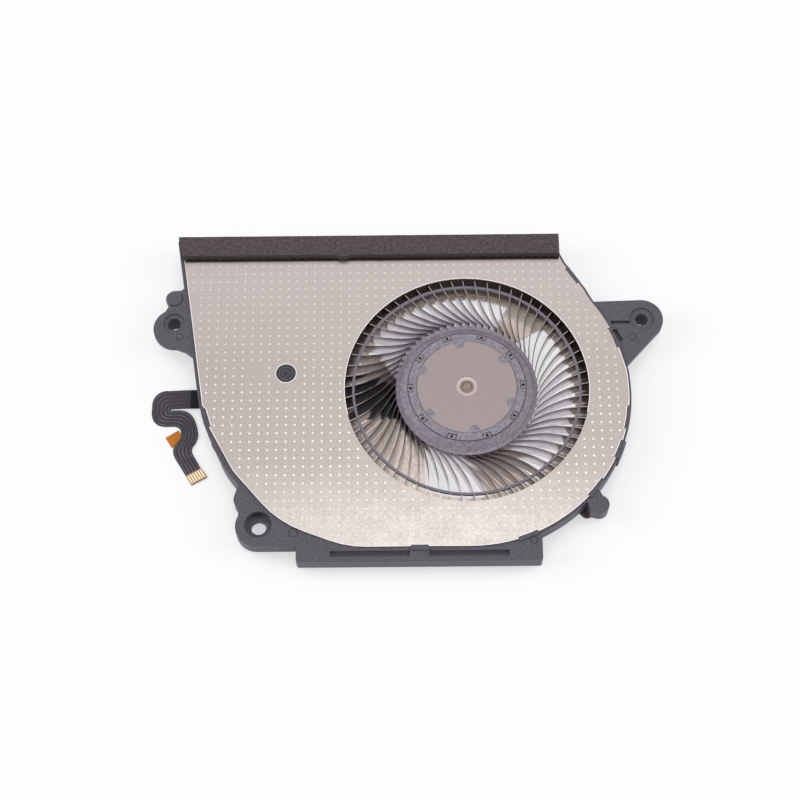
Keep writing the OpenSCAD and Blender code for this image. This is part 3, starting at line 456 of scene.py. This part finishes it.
satin_steel, tree, shader = new_material("satin stainless steel", 0.4, metallic=1.0)
grain = add_node(tree, "ShaderNodeTexCoord", {})
axes = add_node(tree, "ShaderNodeSeparateXYZ", {0: grain.outputs["Object"]})
masks = []
for middle, reach in bare_spots:
    masks.append(add_node(tree, "ShaderNodeMath", {
        0: plan_distance(tree, grain, middle), 1: reach * mm}, operation='GREATER_THAN'))
for point, inward in straight_edges:
    depth = add_node(tree, "ShaderNodeVectorMath", {
        0: grain.outputs["Object"], 1: (inward[0], inward[1], 0)}, operation='DOT_PRODUCT')
    limit = (point[0] * inward[0] + point[1] * inward[1] + dot_margin) * mm
    masks.append(add_node(tree, "ShaderNodeMath", {
        0: depth.outputs["Value"], 1: limit}, operation='GREATER_THAN'))
# The scroll's edge on the right is close to a circle
in_scroll = add_node(tree, "ShaderNodeMath", {
    0: plan_distance(tree, grain, scroll_middle), 1: (scroll_radius - dot_margin) * mm},
    operation='LESS_THAN')
on_left = add_node(tree, "ShaderNodeMath", {0: axes.outputs["X"], 1: 0.0}, operation='LESS_THAN')
at_back = add_node(tree, "ShaderNodeMath", {
    0: axes.outputs["Y"], 1: scroll_back_y * mm}, operation='GREATER_THAN')
beyond = add_node(tree, "ShaderNodeMath", {
    0: on_left.outputs[0], 1: at_back.outputs[0]}, operation='MAXIMUM')
masks.append(add_node(tree, "ShaderNodeMath", {
    0: beyond.outputs[0], 1: in_scroll.outputs[0]}, operation='MAXIMUM'))
# Towards the front and towards the outlet the dimples and their painted highlight are drawn fainter
front_dot_fade = add_node(tree, "ShaderNodeMapRange", {
    0: axes.outputs["Y"], 1: front_dot_fade_y[0] * mm, 2: front_dot_fade_y[1] * mm, 3: 0.3, 4: 1.0})
outlet_dot_fade = add_node(tree, "ShaderNodeMapRange", {
    0: axes.outputs["Y"], 1: outlet_dot_fade_y[0] * mm, 2: outlet_dot_fade_y[1] * mm, 3: 1.0, 4: 0.5})
dotted = dots(tree, grain, 1.0)
for mask in masks + [front_dot_fade, outlet_dot_fade]:
    dotted = add_node(tree, "ShaderNodeMath", {
        0: dotted, 1: mask.outputs[0]}, operation='MULTIPLY').outputs[0]
fine = add_node(tree, "ShaderNodeTexNoise", {
    "Vector": grain.outputs["Object"], "Scale": 2.4 / mm, "Detail": 3.0, "Roughness": 0.6})
sparkle = add_node(tree, "ShaderNodeMapRange", {
    0: fine.outputs[0], 1: 0.3, 2: 0.7, 3: 0.0, 4: 1.0})
steel = add_node(tree, "ShaderNodeMix", {
    0: sparkle.outputs[0], 6: linear("#B0A5A1"), 7: linear("#C0B5B2")}, data_type='RGBA')
# Painted light: the sheet is drawn a little paler towards the outlet
pale = add_node(tree, "ShaderNodeMapRange", {
    0: axes.outputs["Y"], 1: painted_light_y[0] * mm, 2: painted_light_y[1] * mm, 3: 0.0, 4: 0.5})
steel = add_node(tree, "ShaderNodeMix", {
    0: pale.outputs[0], 6: steel.outputs[2], 7: linear("#CABFBC")}, data_type='RGBA')
# At the front its grain is drawn coarser, and brighter as a painted highlight
front_brightening = add_node(tree, "ShaderNodeMapRange", {
    0: axes.outputs["Y"], 1: front_brightening_y[0] * mm, 2: front_brightening_y[1] * mm, 3: 0.0, 4: 1.0})
coarse = add_node(tree, "ShaderNodeTexNoise", {
    "Vector": grain.outputs["Object"], "Scale": 2.7 / mm, "Detail": 2.0, "Roughness": 0.7})
front_brightening_grain = add_node(tree, "ShaderNodeMapRange", {
    0: coarse.outputs[0], 1: 0.35, 2: 0.65, 3: 0.25, 4: 0.95})
front_brightening_grain = add_node(tree, "ShaderNodeMath", {
    0: front_brightening_grain.outputs[0], 1: front_brightening.outputs[0]}, operation='MULTIPLY')
steel = add_node(tree, "ShaderNodeMix", {
    0: front_brightening_grain.outputs[0], 6: steel.outputs[2], 7: linear("#D3CDC8")}, data_type='RGBA')
# The dimples are painted pale, a painted highlight
colour = add_node(tree, "ShaderNodeMix", {
    0: dotted, 6: steel.outputs[2], 7: linear("#F0EBE7")}, data_type='RGBA')
# The cut faces are painted near white, a painted highlight
facing = add_node(tree, "ShaderNodeSeparateXYZ", {0: grain.outputs["Normal"]})
upright = add_node(tree, "ShaderNodeMath", {0: facing.outputs["Z"]}, operation='ABSOLUTE')
upright = add_node(tree, "ShaderNodeMath", {
    0: upright.outputs[0], 1: 0.5}, operation='LESS_THAN')
colour = add_node(tree, "ShaderNodeMix", {
    0: upright.outputs[0], 6: colour.outputs[2], 7: linear("#F8F4F0")}, data_type='RGBA')
tree.links.new(colour.outputs[2], shader.inputs["Base Color"])
grind = add_node(tree, "ShaderNodeTexNoise", {
    "Vector": grain.outputs["Object"], "Scale": 0.3 / mm, "Detail": 2.0})
rough = add_node(tree, "ShaderNodeMapRange", {
    0: grind.outputs[0], 1: 0.3, 2: 0.7, 3: 0.28, 4: 0.34})
tree.links.new(rough.outputs[0], shader.inputs["Roughness"])
dimple = add_node(tree, "ShaderNodeBump", {
    "Height": dotted, "Distance": dimple_h * mm, "Strength": 0.15})
skin = add_node(tree, "ShaderNodeBump", {
    "Height": fine.outputs[0], "Distance": satin_h * mm, "Strength": 0.3,
    "Normal": dimple.outputs[0]})
tree.links.new(skin.outputs[0], shader.inputs["Normal"])
paint(satin_steel, "cover")

# Cut edge of the cover. A thin rounded near-white bead along the sheet's outline, the inlet and the
# hole for the post is a painted highlight.
cut_bead_r = 0.11
cover_middle = (-10.0, 0.0)
post_hole_reach = 3
inlet_reach = 23
highlight_lean = 0.25
weld_gap = 0.002
top_depth = 0.01


def edge_bead(node, name, radius, material, kept):
    """Lays a thin bead along a node's top outline, where kept(middle, across_edge) says so."""
    bead = cad[node].copy()
    bead.data = cad[node].data.copy()
    bead.name = name
    bead.parent = None
    for key in list(bead.keys()):
        del bead[key]
    bpy.context.scene.collection.objects.link(bead)
    bpy.context.view_layer.objects.active = bead
    bead.select_set(True)
    bpy.ops.object.mode_set(mode='EDIT')
    bpy.ops.mesh.select_all(action='SELECT')
    bpy.ops.mesh.remove_doubles(threshold=weld_gap * mm)
    bpy.ops.mesh.select_all(action='DESELECT')
    bpy.ops.mesh.select_mode(type='FACE')
    bpy.ops.object.mode_set(mode='OBJECT')
    top = max(v.co.z for v in bead.data.vertices)
    for face in bead.data.polygons:
        face.select = face.normal.z > 0.9 and face.center.z > top - top_depth * mm
    bpy.ops.object.mode_set(mode='EDIT')
    bpy.ops.mesh.region_to_loop()
    bpy.ops.object.mode_set(mode='OBJECT')
    for edge in bead.data.edges:
        if edge.select:
            p, q = [bead.data.vertices[v].co / mm for v in edge.vertices]
            middle = (p + q) / 2
            across_edge = Vector((p.y - q.y, q.x - p.x, 0)).normalized()
            edge.select = kept(middle, across_edge)
    bpy.ops.object.mode_set(mode='EDIT')
    bpy.ops.mesh.select_all(action='INVERT')
    bpy.ops.mesh.delete(type='EDGE')
    bpy.ops.mesh.select_all(action='SELECT')
    bpy.ops.mesh.delete_loose(use_verts=True, use_edges=False, use_faces=False)
    bpy.ops.object.mode_set(mode='OBJECT')
    bpy.ops.object.convert(target='CURVE')
    bead.data.bevel_depth = radius * mm
    bead.data.bevel_resolution = 2
    bead.data.use_fill_caps = True
    bpy.ops.object.convert(target='MESH')
    bead = bpy.context.object
    bead.data.materials.clear()
    bead.data.materials.append(material)
    bpy.ops.object.shade_smooth()
    bead.select_set(False)
    return bead


def gets_edge_highlight(middle, across_edge):
    """The bead of painted highlight goes on the sides that face the front, and all round the post.
    """
    if (middle.xy - Vector(post_middle)).length < post_hole_reach:
        return True
    inlet = middle.xy.length < inlet_reach
    outward = -middle.xy if inlet else middle.xy - Vector(cover_middle)
    turned = across_edge if across_edge.xy.dot(outward) > 0 else -across_edge
    return turned.y < highlight_lean


bright_cut = two_tone("painted highlight on cut steel edge", "#EEE9E6", "#FCFAF8", 0.9, 0.25, metallic=1.0)
edge_highlight = edge_bead("cover", "cover_cut_edge", cut_bead_r, bright_cut, gets_edge_highlight)
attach(edge_highlight, "case")

# Foam strip. Soft open-cell polyurethane foam, cut from sheet and glued along the outlet. Its edges
# are cut clean but a little uneven, and it has a small round bump towards the case.
foam_low, foam_high = [Vector(c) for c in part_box("foam_gasket")]
foam_depth = 4.2
foam_slant = 0.7
foam_slant_l = 3
foam_edge_r = 0.12
foam_cuts = 180
foam_long = 10
cell_h = 0.06
bump_x = -23.0
bump_r = 2.0
bump_depth = 0.4
top_sag = 0.03
top_wave = 0.012
top_rim = 0.4
front_wave = 0.02
front_rim = 0.3
foam_back_y = foam_high.y
foam_front_y = foam_high.y - foam_depth * mm


def block(name, low, high):
    """Makes a block from its lowest corner to its highest one."""
    bpy.ops.mesh.primitive_cube_add(size=1, location=(low + high) / 2)
    piece = bpy.context.object
    piece.name = name
    piece.scale = high - low
    bpy.ops.object.transform_apply(location=True, rotation=True, scale=True)
    return piece


foam = block("foam_strip", Vector((foam_low.x, foam_front_y, foam_low.z)), foam_high)


def on_long_edges(change, **settings):
    """Makes a change to the foam's edges that run along the outlet."""
    bpy.ops.object.mode_set(mode='EDIT')
    bpy.ops.mesh.select_mode(type='EDGE')
    bpy.ops.mesh.select_all(action='DESELECT')
    bpy.ops.object.mode_set(mode='OBJECT')
    for edge in foam.data.edges:
        a, b = [foam.data.vertices[v].co for v in edge.vertices]
        edge.select = abs(a.x - b.x) > foam_long * mm
    bpy.ops.object.mode_set(mode='EDIT')
    change(**settings)
    bpy.ops.object.mode_set(mode='OBJECT')


on_long_edges(bpy.ops.mesh.bevel, offset=foam_edge_r * mm, segments=2, affect='EDGES')
on_long_edges(bpy.ops.mesh.subdivide, number_cuts=foam_cuts)
for vertex in foam.data.vertices:
    v = vertex.co
    lean = (max(0.0, 1 - (v.x - foam_low.x) / (foam_slant_l * mm))
            * (foam_back_y - v.y) / (foam_back_y - foam_front_y))
    v.x += lean * foam_slant * mm
    x = v.x / mm
    wave = math.sin(x * 1.7) + math.sin(x * 0.63 + 1.2) + 0.6 * math.sin(x * 4.1)
    if v.z > foam_high.z - top_rim * mm:
        v.z -= (top_sag + top_wave * wave) * mm
    if v.y < foam_front_y + front_rim * mm:
        v.y += front_wave * wave * mm
        reach = math.sqrt(max(0.0, bump_r ** 2 - (x - bump_x) ** 2)) - (bump_r - bump_depth)
        if reach > 0:
            v.y -= reach * mm
foam_material, tree, shader = new_material("open-cell polyurethane foam", 0.92, ior=1.4)
grain = add_node(tree, "ShaderNodeTexCoord", {})
cells = add_node(tree, "ShaderNodeTexVoronoi", {
    "Vector": grain.outputs["Object"], "Scale": 3.2 / mm})
mottle = add_node(tree, "ShaderNodeTexNoise", {
    "Vector": grain.outputs["Object"], "Scale": 1.7 / mm, "Detail": 4.0, "Roughness": 0.7})
walls = add_node(tree, "ShaderNodeMapRange", {
    0: mottle.outputs[0], 1: 0.35, 2: 0.65, 3: 0.0, 4: 1.0})
skin_tint = add_node(tree, "ShaderNodeMix", {
    0: walls.outputs[0], 6: linear("#494144"), 7: linear("#675E61")}, data_type='RGBA')
# The face towards the front gets its own plain colour, painted for how the light falls on it
facing = add_node(tree, "ShaderNodeSeparateXYZ", {0: grain.outputs["Normal"]})
front_face_tone = add_node(tree, "ShaderNodeMath", {
    0: facing.outputs["Y"], 1: -0.6}, operation='LESS_THAN')
tint = add_node(tree, "ShaderNodeMix", {
    0: front_face_tone.outputs[0], 6: skin_tint.outputs[2], 7: linear("#585052")}, data_type='RGBA')
tree.links.new(tint.outputs[2], shader.inputs["Base Color"])
skin = add_node(tree, "ShaderNodeBump", {
    "Height": cells.outputs["Distance"], "Distance": cell_h * mm, "Strength": 0.7})
tree.links.new(skin.outputs[0], shader.inputs["Normal"])
shader.inputs["Specular IOR Level"].default_value = 0.2
foam.data.materials.append(foam_material)
bpy.ops.object.shade_smooth_by_angle(angle=math.radians(40))
foam.select_set(False)
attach(foam, "case")
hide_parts("foam_gasket")

# Adhesive tape. The foam is cut from sheet with a dark brown adhesive film under it, whose edge
# shows on the cover in front of the foam, with the painted dimple highlights faintly through it.
# The dark strip also stands in for the foam's shade on the cover, as painted shade.
cover_top = 5.0
tape_front = 26.6
tape_back = 27.4
tape_left = -53.0
tape_right = 18.1
tape_t = 0.05
tape_edge_r = 0.02
tape = block("adhesive_tape", Vector((tape_left, tape_front, cover_top)) * mm,
             Vector((tape_right, tape_back, cover_top + tape_t)) * mm)
soft_edge = tape.modifiers.new("soft_edge", 'BEVEL')
soft_edge.width = tape_edge_r * mm
soft_edge.segments = 2
bpy.ops.object.modifier_apply(modifier="soft_edge")
adhesive, tree, shader = new_material("brown acrylic adhesive film", 0.35)
grain = add_node(tree, "ShaderNodeTexCoord", {})
mottle = add_node(tree, "ShaderNodeTexNoise", {
    "Vector": grain.outputs["Object"], "Scale": 0.5 / mm, "Detail": 2.0})
film = add_node(tree, "ShaderNodeMix", {
    0: mottle.outputs[0], 6: linear("#1B1715"), 7: linear("#3A312C")}, data_type='RGBA')
tint = add_node(tree, "ShaderNodeMix", {
    0: dots(tree, grain, 0.2), 6: film.outputs[2], 7: linear("#C9B9AC")}, data_type='RGBA')
tree.links.new(tint.outputs[2], shader.inputs["Base Color"])
shader.inputs["Specular IOR Level"].default_value = 0.25
tape.data.materials.append(adhesive)
tape.select_set(False)
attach(tape, "case")

# Impeller hub and ring. Grey mineral-filled plastic, moulded round the steel cap and over the roots
# of the blades. The hub is paler than the frame and has a speckled satin skin, the ring is darker.
speck_h = 0.02
hub_plastic, tree, shader = new_material("mineral-filled PBT", 0.36, ior=1.55)
grain = add_node(tree, "ShaderNodeTexCoord", {})
speck = add_node(tree, "ShaderNodeTexNoise", {
    "Vector": grain.outputs["Object"], "Scale": 1.9 / mm, "Detail": 4.0, "Roughness": 0.7})
cloud = add_node(tree, "ShaderNodeTexNoise", {
    "Vector": grain.outputs["Object"], "Scale": 0.18 / mm, "Detail": 2.0})
ground = add_node(tree, "ShaderNodeMix", {
    0: cloud.outputs[0], 6: linear("#6F6874"), 7: linear("#837C88")}, data_type='RGBA')
spot = add_node(tree, "ShaderNodeMapRange", {
    0: speck.outputs[0], 1: 0.4, 2: 0.65, 3: 0.0, 4: 1.0})
tint = add_node(tree, "ShaderNodeMix", {
    0: spot.outputs[0], 6: ground.outputs[2], 7: linear("#A29BA6")}, data_type='RGBA')
tree.links.new(tint.outputs[2], shader.inputs["Base Color"])
skin = add_node(tree, "ShaderNodeBump", {
    "Height": speck.outputs[0], "Distance": speck_h * mm, "Strength": 0.4})
tree.links.new(skin.outputs[0], shader.inputs["Normal"])
paint(hub_plastic, "impeller_hub")
paint(two_tone("dark mineral-filled PBT", "#57515C", "#8A8490", 1.9, 0.4, ior=1.55, detail=4.0,
               grit=0.7), "blade_ring")

# Blades. Thin rolled metal strips, each bent to an arc, with polished faces that mirror the room.
# Their faces are drawn darker towards the top as painted shade, and their upper edges are painted
# dark near the hub as painted shade and light at the tips as painted light.
blade_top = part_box("impeller_blades")[1][2]
top_shade_low = 2.2
top_shade_high = 0.1
tip_light_start = 18.0
tip_light_full = 20.5
blade_metal, tree, shader = new_material("rolled blade strip", 0.18, metallic=1.0)
grain = add_node(tree, "ShaderNodeTexCoord", {})
mottle = add_node(tree, "ShaderNodeTexNoise", {
    "Vector": grain.outputs["Object"], "Scale": 0.62 / mm, "Detail": 1.0})
face_tint = add_node(tree, "ShaderNodeMix", {
    0: mottle.outputs[0], 6: linear("#B0ABAF"), 7: linear("#F4F0F3")}, data_type='RGBA')
facing = add_node(tree, "ShaderNodeSeparateXYZ", {0: grain.outputs["Normal"]})
on_edge = add_node(tree, "ShaderNodeMath", {
    0: facing.outputs["Z"], 1: 0.5}, operation='GREATER_THAN')
axes = add_node(tree, "ShaderNodeSeparateXYZ", {0: grain.outputs["Object"]})
# Painted shade: the faces are drawn darker towards their upper edge
painted_top_shade = add_node(tree, "ShaderNodeMapRange", {
    0: axes.outputs["Z"], 1: blade_top - top_shade_low * mm, 2: blade_top - top_shade_high * mm,
    3: 0.0, 4: 1.0}, interpolation_type='SMOOTHSTEP')
face_tint = add_node(tree, "ShaderNodeMix", {
    0: painted_top_shade.outputs[0], 6: face_tint.outputs[2], 7: linear("#7E777D")}, data_type='RGBA')
# Painted shade and light on the upper edges: dark near the hub, light at the tips
tip = add_node(tree, "ShaderNodeMapRange", {
    0: plan_distance(tree, grain), 1: tip_light_start * mm, 2: tip_light_full * mm, 3: 0.0, 4: 1.0},
    interpolation_type='SMOOTHSTEP')
edge_tint = add_node(tree, "ShaderNodeMix", {
    0: tip.outputs[0], 6: linear("#514A50"), 7: linear("#A89F9D")}, data_type='RGBA')
tint = add_node(tree, "ShaderNodeMix", {
    0: on_edge.outputs[0], 6: face_tint.outputs[2], 7: edge_tint.outputs[2]}, data_type='RGBA')
tree.links.new(tint.outputs[2], shader.inputs["Base Color"])
paint(blade_metal, "impeller_blades")

# Rotor cap, bush and shaft. The cap is drawn steel with a satin face and a rounded edge, the bush
# is turned from the same steel, and the shaft's polished end has a warm tint. Their grain is drawn
# coarse enough to show.
cap_bead_r = 0.07
cap_hole_reach = 4
shaft_dark_full = 1.25
shaft_dark_end = 1.45
cap_grain_h = 0.01
cap_steel, tree, shader = new_material("drawn steel", 0.42, metallic=1.0)
grain = add_node(tree, "ShaderNodeTexCoord", {})
fine = add_node(tree, "ShaderNodeTexNoise", {
    "Vector": grain.outputs["Object"], "Scale": 2.3 / mm, "Detail": 4.0, "Roughness": 0.65})
tint = add_node(tree, "ShaderNodeMix", {
    0: fine.outputs[0], 6: linear("#958989"), 7: linear("#AD9F9F")}, data_type='RGBA')
tree.links.new(tint.outputs[2], shader.inputs["Base Color"])
skin = add_node(tree, "ShaderNodeBump", {
    "Height": fine.outputs[0], "Distance": cap_grain_h * mm, "Strength": 0.3})
tree.links.new(skin.outputs[0], shader.inputs["Normal"])
paint(cap_steel, "rotor_cap")
# The rounded edge is drawn a little lighter than the cap's face, a painted highlight
cap_edge_highlight = two_tone("drawn steel edge with painted highlight", "#A3989A", "#BFB5B6", 0.7, 0.4, metallic=1.0)
cap_edge = edge_bead("rotor_cap", "cap_edge", cap_bead_r, cap_edge_highlight,
                     lambda middle, across_edge: middle.xy.length > cap_hole_reach)
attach(cap_edge, "impeller")
turned_steel, tree, shader = new_material("turned steel", 0.38, metallic=1.0)
grain = add_node(tree, "ShaderNodeTexCoord", {})
fine = add_node(tree, "ShaderNodeTexNoise", {
    "Vector": grain.outputs["Object"], "Scale": 2.3 / mm, "Detail": 3.0})
bush_tint = add_node(tree, "ShaderNodeMix", {
    0: fine.outputs[0], 6: linear("#B0A5A0"), 7: linear("#CCC2BD")}, data_type='RGBA')
# The bush is drawn darker next to the shaft
shaft_dark = add_node(tree, "ShaderNodeMapRange", {
    0: plan_distance(tree, grain), 1: shaft_dark_full * mm, 2: shaft_dark_end * mm, 3: 1.0, 4: 0.0},
    interpolation_type='SMOOTHSTEP')
tint = add_node(tree, "ShaderNodeMix", {
    0: shaft_dark.outputs[0], 6: bush_tint.outputs[2], 7: linear("#8A7D78")}, data_type='RGBA')
tree.links.new(tint.outputs[2], shader.inputs["Base Color"])
paint(turned_steel, "shaft_bush")
paint(two_tone("hardened steel pin", "#6E5750", "#AD9990", 1.6, 0.34, metallic=1.0, detail=3.0),
      "shaft")

# Motor inside the hub. A ring magnet in the cap runs round a stack of stamped core plates with six
# windings between two insulators. The shaft stands on a pad, in a sintered sleeve in a brass
# housing. Each row has a grain size in mm after its two colours, then roughness and metallic.
for name, nodes, low, high, size, roughness, metallic in (
        ("bonded ferrite magnet", ["ring_magnet"], "#2E2E30", "#454548", 0.4, 0.6, 0.0),
        ("sintered bronze", ["bearing_sleeve"], "#8C6C46", "#A98A60", 0.3, 0.5, 1.0),
        ("turned brass", ["bearing_housing"], "#BC9A54", "#D0B26C", 0.5, 0.3, 1.0),
        ("acetal", ["thrust_pad"], "#E4DDCB", "#EFE9DA", 0.5, 0.35, 0.0),
        ("nitrile rubber", ["oil_seal"], "#1F1D20", "#2E2B30", 0.4, 0.6, 0.0),
        ("electrical steel laminations", ["stator_core"], "#6E6C70", "#8A888C", 0.35, 0.4, 1.0),
        ("moulded nylon insulator", ["insulator_lower", "insulator_upper"],
         "#34403D", "#46534F", 0.5, 0.45, 0.0),
        ("enamelled copper wire", [f"coil_{i}" for i in range(1, 7)],
         "#9A5423", "#C67A3E", 0.15, 0.3, 0.6)):
    paint(two_tone(name, low, high, 1 / size, roughness, metallic, detail=3.0), *nodes)
